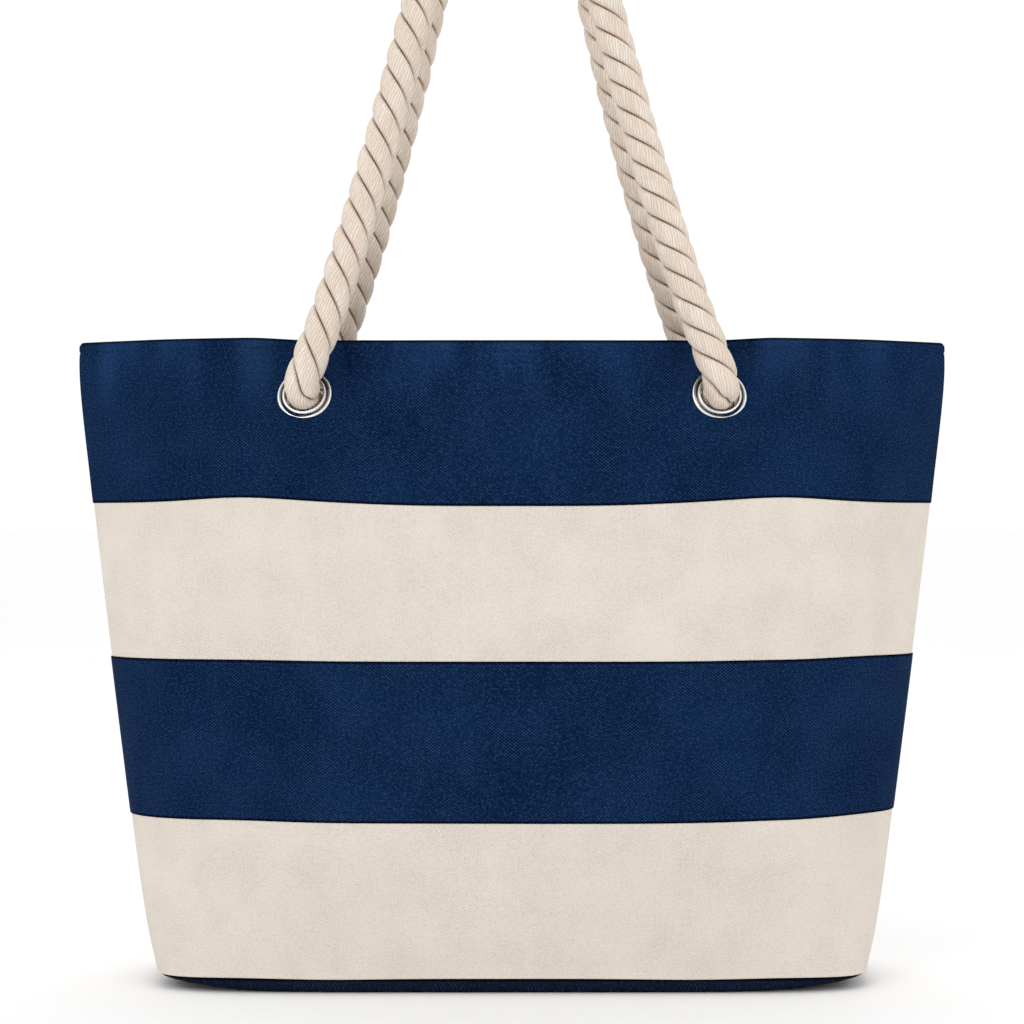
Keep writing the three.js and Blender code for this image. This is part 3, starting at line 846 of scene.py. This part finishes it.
def make_tail(word, side_word):
    """The rope's cut end under the knot."""
    node = f"{word}_{side_word}_whipped_end"
    bottom, top = low(node), high(node)
    x, y = (bottom.x + top.x) / 2, (bottom.y + top.y) / 2
    heights = (top.z + TAIL_IN_KNOT, (top.z + bottom.z) / 2, bottom.z)
    path, along = smooth_path([(x, y, z) for z in heights], TAIL_STEP)
    diameter = ROPE_DIAMETER * (1 - TAIL_TAPER * smoothstep((along - TAPER_START) / TAPER_LENGTH))
    tail = rope_object(f"{word}_{side_word}_rope_tail", laid_rope(path, along, diameter, ROPE_LAY))
    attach(tail, "bag")
    make_whipping(word, side_word, x, y, bottom.z)
    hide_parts(node)


for word in HALVES:
    for side_word in SIDES:
        make_knot(word, side_word)
        make_tail(word, side_word)

# ---------------------------------------------------------------- canvas panels

COLUMNS = 220
ROW_STEP = 2.4 * MM
SEEDS = {"front": 3.0, "rear": 11.0}
LINING_SEED = 2
TUCK = 4 * MM
FOLD_TO_FLAT = 1.2 * MM
SHOULDER = BAG_HEIGHT - RIM_ROLL
FACING_LOW = BAG_HEIGHT - FACING_DEPTH
NAVY_LOOK = (navy_canvas, "navy_canvas")
CREAM_LOOK = (cream_canvas, "cream_canvas")
LINING_LOOK = (lining_cloth, "lining_cloth")
SEAM_LINES = [BASE_SEAM, *SEAMS, BAG_HEIGHT]
STITCH_INSET = 2.2 * MM
RIM_STITCH = 6 * MM
STITCH_LINES = {
    "rim": BAG_HEIGHT - RIM_STITCH,
    "top_band": SEAMS[2] + STITCH_INSET,
    "lower_band_upper": SEAMS[1] - STITCH_INSET,
    "lower_band_lower": SEAMS[0] + STITCH_INSET,
}
STITCH_DEPTH = 0.35 * MM
STITCH_WIDTH = 0.7 * MM
HEM_SWELL = 0.5 * MM
CLOSE_STEP = 0.4 * MM
CLOSE_ROWS = 3
CLOSE_MARGIN = 0.3 * MM


def relief(z):
    """The hem's swelling under the rim, and the groove that each row of stitches pulls in."""
    under_rim = (BAG_HEIGHT - z) / RIM_STITCH
    height = HEM_SWELL * math.sin(math.pi * under_rim) if 0 < under_rim < 1 else 0
    for line in STITCH_LINES.values():
        height -= STITCH_DEPTH * math.exp(-(((z - line) / STITCH_WIDTH) ** 2))
    return height


def flat_rows(z_low, z_high, offset, sewn=False):
    """Rows between two heights. Sewn cloth has the stitches' relief, and closer rows beside them."""
    count = max(2, round((z_high - z_low) / ROW_STEP))
    heights = [float(z) for z in np.linspace(z_low, z_high, count + 1)]
    if not sewn:
        return [(z, offset) for z in heights]
    for line in STITCH_LINES.values():
        close = [line + step * CLOSE_STEP for step in range(-CLOSE_ROWS, CLOSE_ROWS + 1)]
        if z_low < close[0] and close[-1] < z_high:
            gap_low, gap_high = close[0] - CLOSE_MARGIN, close[-1] + CLOSE_MARGIN
            heights = [z for z in heights if not gap_low < z < gap_high] + close
    return [(z, offset + relief(z)) for z in sorted(heights)]


# A fold's rows, in mm: how far into the cloth, and how far out.
FOLD_PROFILE = [(0.25, -0.9), (0, -0.45), (0.2, -0.12), (0.8, 0)]


def folded_edge(z, inside, lift):
    """Rows of a folded edge at height z, from the fold to the flat. inside is +1 if the cloth lies above."""
    return [(z + inside * rise * MM, lift + out * MM) for rise, out in FOLD_PROFILE]


def cut_holes(vertices, faces, cloth, half):
    """The panel's vertices, faces and cloth values without the faces inside its two grommets' holes."""
    holes = [(np.array(hole_centre(half, side)), np.array(hole_axis(half, side))) for side in SIDES.values()]

    def is_cut(face):
        away = [vertices[list(face)].mean(axis=0) - centre for centre, _ in holes]
        return any(
            np.linalg.norm(d - axis * d.dot(axis)) < GROMMET_HOLE for d, (_, axis) in zip(away, holes)
        )

    faces = [face for face in faces if not is_cut(face)]
    used = sorted({i for face in faces for i in face})
    place = {old: new for new, old in enumerate(used)}
    return vertices[used], [tuple(place[i] for i in face) for face in faces], cloth[used]


def sew_panel(
    word, piece, node, rows, look, rests_on, held="stretched", seed=0, holes=False, thickness=CANVAS
):
    """One cloth panel of a half, from its rows. look is its material and its slot."""
    half = HALVES[word]
    grid, cloth = shell_points(rows, COLUMNS, half, SEEDS[word] + seed)
    faces = grid_faces(len(rows), COLUMNS + 1, flip=half > 0)
    vertices, cloth = grid.reshape(-1, 3), cloth.reshape(-1, 3)
    if holes:
        vertices, faces, cloth = cut_holes(vertices, faces, cloth, half)
    edge = np.min([np.abs(cloth[:, 1] - line) for line in SEAM_LINES], axis=0)
    panel = mesh_object(f"{word}_{piece}", vertices, faces, *look, {"cloth": cloth, "edge": edge})
    thicken(panel, thickness)
    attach(panel, "bag")
    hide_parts(f"{word}_{node}")
    heights = [z for z, _ in rows]
    width = section((min(heights) + max(heights)) / 2, COLUMNS)[2][-1] * 2
    return panel


FOOT_FOLD_DROP, FOOT_FOLD_LIFT = 0.3 * MM, 0.55 * MM
# Where the bottom band settles from its fold to the flat, in mm: above the base seam, and out.
FOOT_SETTLE = [(1.5, 0.5), (4, 0.15)]
FOOT_FLAT = 7 * MM
RIM_ROLL_STEP = 20
RIM_START, RIM_HEM = 0.4 * MM, 2.5 * MM


def bottom_cream_rows():
    rows = folded_edge(BASE_SEAM - FOOT_FOLD_DROP, 1, FOOT_FOLD_LIFT)
    rows += [(BASE_SEAM + up * MM, out * MM) for up, out in FOOT_SETTLE]
    return rows + flat_rows(BASE_SEAM + FOOT_FLAT, SEAMS[0] + TUCK, 0)


def lower_navy_rows():
    rows = folded_edge(SEAMS[0], 1, NAVY_LIFT)
    rows += flat_rows(SEAMS[0] + FOLD_TO_FLAT, SEAMS[1] - FOLD_TO_FLAT, NAVY_LIFT, sewn=True)
    return rows + folded_edge(SEAMS[1], -1, NAVY_LIFT)[::-1]


def top_navy_rows():
    """From the folded seam up to the rim, over its roll, and a little way down inside."""
    rows = folded_edge(SEAMS[2], 1, NAVY_LIFT)
    rows += flat_rows(SEAMS[2] + FOLD_TO_FLAT, SHOULDER - RIM_START, NAVY_LIFT, sewn=True)
    for degrees in range(RIM_ROLL_STEP, 181, RIM_ROLL_STEP):
        angle = math.radians(degrees)
        rows.append((SHOULDER + RIM_ROLL * math.sin(angle), NAVY_LIFT - RIM_ROLL * (1 - math.cos(angle))))
    return rows + [(SHOULDER - RIM_HEM, NAVY_LIFT - 2 * RIM_ROLL)]


def make_half(word):
    """The four bands of one half, from the foot up, and the facing and the lining behind them."""
    rows = bottom_cream_rows()
    below = sew_panel(word, "bottom_cream_canvas", "bottom_cream_band", rows, CREAM_LOOK, ["base_board"])
    navy = sew_panel(word, "lower_navy_canvas", "lower_navy_band", lower_navy_rows(), NAVY_LOOK, [below])
    rows = flat_rows(SEAMS[1] - TUCK, SEAMS[2] + TUCK, 0)
    cream = sew_panel(word, "upper_cream_canvas", "upper_cream_band", rows, CREAM_LOOK, [navy])
    drilled = {"holes": True, "thickness": THIN_CANVAS}
    top = sew_panel(word, "top_navy_canvas", "top_navy_band", top_navy_rows(), NAVY_LOOK, [cream], **drilled)
    rows = flat_rows(FACING_LOW, BAG_HEIGHT - 2.6 * MM, -FACING_INSET)
    facing = sew_panel(word, "inner_facing", "top_facing", rows, NAVY_LOOK, [top], **drilled)
    rows = flat_rows(BASE_SEAM + 1 * MM, FACING_LOW + TUCK, -LINING_INSET)
    hung = {"held": "hung", "seed": LINING_SEED, "thickness": LINING}
    sew_panel(word, "inner_lining", "lining", rows, LINING_LOOK, [facing], **hung)


for word in HALVES:
    make_half(word)

# ---------------------------------------------------------------- stitches

STITCH_PITCH = 3.3 * MM
STITCH_LENGTH = 2.5 * MM
THREAD = 0.38 * MM


STITCH_PROFILE = [(0.0, 0.25), (0.18, 0.85), (0.5, 1.0), (0.82, 0.85), (1.0, 0.25)]
STITCH_SIDES = 6
STITCH_ARCH = 0.6
STITCH_LIFT = 0.1 * MM
STITCHED_LINE_POINTS = 900
UP = np.array((0.0, 0.0, 1.0))


def stitch_points(here, there, half):
    """One stitch from here to there: a short thread, thin and sunk in at both ends."""
    run = (there - here) / np.linalg.norm(there - here)
    out = np.cross(run, UP) * -half
    points = []
    for t, wide in STITCH_PROFILE:
        for k in range(STITCH_SIDES):
            angle = 2 * math.pi * k / STITCH_SIDES
            lift = out * (math.cos(angle) * THREAD * wide - THREAD * STITCH_ARCH * (2 * t - 1) ** 2)
            points.append(here + (there - here) * t + lift + UP * math.sin(angle) * THREAD * wide)
    return points


def make_stitches(word, line, z):
    """One row of stitches along a panel at height z."""
    half = HALVES[word]
    offset = NAVY_LIFT + relief(z) + STITCH_LIFT
    (points,), _ = shell_points([(z, offset)], STITCHED_LINE_POINTS, half, SEEDS[word])
    along = distance_along(points)
    vertices, faces = [], []
    for s in np.arange(STITCH_PITCH, along[-1] - STITCH_PITCH, STITCH_PITCH):
        here, there = (
            np.array([np.interp(at, along, points[:, i]) for i in range(3)]) for at in (s, s + STITCH_LENGTH)
        )
        faces += tube_faces(len(STITCH_PROFILE), STITCH_SIDES, len(vertices))
        vertices += stitch_points(here, there, half)
    stitches = mesh_object(f"{word}_{line}_stitches", vertices, faces, navy_thread, "navy_canvas")
    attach(stitches, "bag")


for word in HALVES:
    for line, z in STITCH_LINES.items():
        make_stitches(word, line, z)

# ---------------------------------------------------------------- grommets


def lathe(name, profile, origin, axis, segments=64):
    """A closed ring: the profile's (radius, height, painted shade) points, in mm, turned about the axis."""
    turn = axis.to_track_quat("Z", "Y")
    vertices = []
    for i in range(segments):
        angle = 2 * math.pi * i / segments
        for radius, height, _ in profile:
            point = MM * Vector((radius * math.cos(angle), radius * math.sin(angle), height))
            vertices.append(origin + turn @ point)
    count = len(profile)
    faces = []
    for i in range(segments):
        j = (i + 1) % segments
        for k in range(count):
            n = (k + 1) % count
            faces.append((i * count + k, j * count + k, j * count + n, i * count + n))
    painted_shade = [shade for _, _, shade in profile] * segments
    ring = mesh_object(name, vertices, faces, polished_nickel, "polished_nickel", {"painted_shade": painted_shade})
    soft = ring.modifiers.new("round", "SUBSURF")
    soft.levels = soft.render_levels = 1
    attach(ring, "bag")
    return ring


# Each point's last value is how strongly painted shade darkens the nickel there.
RING_PROFILE = [
    (15.5, 0.3, 1.0),
    (15.75, 0.8, 0.9),
    (15.6, 1.4, 0.0),
    (14.9, 2.1, 0.0),
    (14.1, 1.95, 0.0),
    (13.5, 1.35, 0.85),
    (13.1, 1.2, 1.0),
    (12.75, 1.6, 0.5),
    (12.4, 2.7, 0.0),
    (11.7, 3.1, 0.0),
    (11.05, 2.85, 0.0),
    (10.75, 2.1, 0.7),
    (10.75, 0.9, 1.0),
    (10.75, -4.2, 1.0),
    (11.0, -4.75, 0.4),
    (11.35, -4.75, 0.4),
    (11.5, -4.2, 0.4),
    (11.5, 0.5, 0.4),
    (12.4, 0.35, 0.8),
]
WASHER_PROFILE = [
    (11.7, -5.4, 0.2),
    (12.2, -5.9, 0.0),
    (14.6, -5.6, 0.0),
    (15.5, -4.9, 0.0),
    (15.6, -4.4, 0.3),
    (15.2, -4.2, 0.5),
    (11.7, -4.2, 0.5),
]

for word, half in HALVES.items():
    for side_word, side in SIDES.items():
        origin, axis = hole_centre(half, side), hole_axis(half, side)
        ring = lathe(f"{word}_{side_word}_ring", RING_PROFILE, origin, axis)
        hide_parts(f"{word}_{side_word}_grommet_face")
        washer = lathe(f"{word}_{side_word}_back_washer", WASHER_PROFILE, origin, axis)
        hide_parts(f"{word}_{side_word}_grommet_washer")

# ---------------------------------------------------------------- base


def base_ring(z, offset, end_inset=0.0):
    """The whole plan outline at height z, moved outwards, with its two ends drawn in by end_inset."""
    points, normals, _ = section(z, COLUMNS)
    front = points + normals * offset
    front[:, 0] *= 1 - end_inset / half_width(z)
    rear = front[-2:0:-1] * (1, -1)
    both = np.concatenate([front, rear])
    return np.column_stack([both, z + hang(both[:, 0], z)])


# The base panel's turned-up edge inside the bottom band, in mm: above the seam, and out.
BASE_TURN_UP = [(2.5, -1.9), (0, -0.7)]
EDGE_HEIGHTS = np.array([7.2, 6.2, 5, 3.8, 2.6, 1.5, 0.7, 0.2, 0]) * MM
EDGE_OFFSET = -0.2 * MM
UNDERSIDE_SHRINKS = (0.97, 0.85, 0.6, 0.35, 0.12)
NO_SIDE_SEAM = 1.0
# Painted shade: the seam line's darkening over the base's turned-up edge, fading out below the seam.
BASE_EDGE_SHADE = 0.3 * MM


def make_base():
    """The navy base panel: its turned-up edge, its ends that curve up off the floor, and its underside."""
    rings = [base_ring(BASE_SEAM + up * MM, out * MM) for up, out in BASE_TURN_UP]
    for z in EDGE_HEIGHTS:
        rings.append(base_ring(z, EDGE_OFFSET, FOOT_END_LENGTH * (1 - z / BASE_SEAM) ** 2))
    foot = rings[-1]
    rings += [foot * (shrink, shrink, 0) for shrink in UNDERSIDE_SHRINKS]
    wide = len(foot)
    vertices = np.concatenate(rings + [np.zeros((1, 3))])
    faces = grid_faces(len(rings), wide, wrap=True, flip=True)
    last = (len(rings) - 1) * wide
    faces += [(last + (c + 1) % wide, last + c, len(vertices) - 1) for c in range(wide)]
    from_side = np.full(len(vertices), NO_SIDE_SEAM)
    cloth = np.stack([vertices[:, 0], vertices[:, 1] + vertices[:, 2], from_side], axis=1)
    edge = np.maximum(0, BASE_SEAM - vertices[:, 2]) + BASE_EDGE_SHADE
    attributes = {"cloth": cloth, "edge": edge}
    # The base wears the darker copy of the navy: painted shadow.
    base = mesh_object("base_canvas", vertices, faces, base_navy_painted_shadow_canvas, "navy_canvas", attributes)
    thicken(base, CANVAS)
    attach(base, "bag")
    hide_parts("base_panel")


FLOOR_INSET = -5 * MM
FLOOR_RINGS, SMALLEST_RING = 26, 0.02
RUMPLE = 0.6 * MM
RUMPLE_LENGTH = 0.03
RUMPLE_SEED = 5


def make_base_lining():
    """The lining on the bag's floor, slightly rumpled over the board."""
    top = high("base_lining")
    edge = base_ring(BASE_SEAM, FLOOR_INSET)
    wide = len(edge)
    rings = [edge * (shrink, shrink, 0) for shrink in np.linspace(1, SMALLEST_RING, FLOOR_RINGS)]
    vertices = np.concatenate(rings)
    for vertex in vertices:
        place = Vector((vertex[0] / RUMPLE_LENGTH, vertex[1] / RUMPLE_LENGTH, RUMPLE_SEED))
        vertex[2] = top.z + RUMPLE * noise.noise(place)
    faces = grid_faces(len(rings), wide, wrap=True)
    last = (len(rings) - 1) * wide
    faces.append(tuple(last + c for c in range(wide)))
    cloth = np.stack([vertices[:, 0], vertices[:, 1], vertices[:, 0] * 0], axis=1)
    floor = mesh_object("base_inner_lining", vertices, faces, lining_cloth, "lining_cloth", {"cloth": cloth})
    thicken(floor, LINING)
    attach(floor, "bag")
    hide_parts("base_lining")


make_base()
make_base_lining()
board = frame["nodes"]["base_board"]
board.data.materials.clear()
board.data.materials.append(stiffener_board)

# ---------------------------------------------------------------- floor, light and world

FLOOR_RADIUS = 40
FLOOR_SIDES = 96
FLOOR_SCALE = 3.0
FLOOR_DARK, FLOOR_LIGHT = (0.955, 0.955, 0.955), (0.975, 0.975, 0.975)
# Each lamp's place, size and power.
LAMPS = {
    "key": ((-1.1, -2.0, 1.9), 1.2, 7),
    "fill": ((1.6, -1.7, 1.0), 1.4, 2),
    "top": ((0.1, 0.6, 2.4), 1.6, 6),
}
WORLD_STRENGTH = 1.02


def make_floor():
    n = Nodes("studio_floor", 0.6, Specular_IOR_Level=0.1)
    n.colour(n.blotches(n.position(), FLOOR_SCALE, (0.3, FLOOR_DARK), (0.7, FLOOR_LIGHT)))
    turn = [2 * math.pi * i / FLOOR_SIDES for i in range(FLOOR_SIDES)]
    mesh = bpy.data.meshes.new("studio_floor")
    corners = [(FLOOR_RADIUS * math.cos(a), FLOOR_RADIUS * math.sin(a), 0) for a in turn]
    mesh.from_pydata(corners, [], [tuple(range(FLOOR_SIDES))])
    mesh.materials.append(n.material)
    floor = bpy.data.objects.new("studio_floor", mesh)
    bpy.context.scene.collection.objects.link(floor)


def area_light(name, place, size, watts):
    """A round lamp that faces the middle of the bag."""
    data = bpy.data.lights.new(name, "AREA")
    data.shape = "DISK"
    data.size = size
    data.energy = watts
    light = bpy.data.objects.new(name, data)
    light.location = place
    away = Vector((0, 0, BAG_HEIGHT / 2)) - Vector(place)
    light.rotation_euler = away.to_track_quat("-Z", "Y").to_euler()
    bpy.context.scene.collection.objects.link(light)


make_floor()
for name, lamp in LAMPS.items():
    area_light(name, *lamp)

world = bpy.data.worlds.new("studio")
world.use_nodes = True
world.node_tree.nodes["Background"].inputs["Color"].default_value = (1, 1, 1, 1)
world.node_tree.nodes["Background"].inputs["Strength"].default_value = WORLD_STRENGTH
bpy.context.scene.world = world
bpy.context.scene.view_settings.view_transform = "Standard"
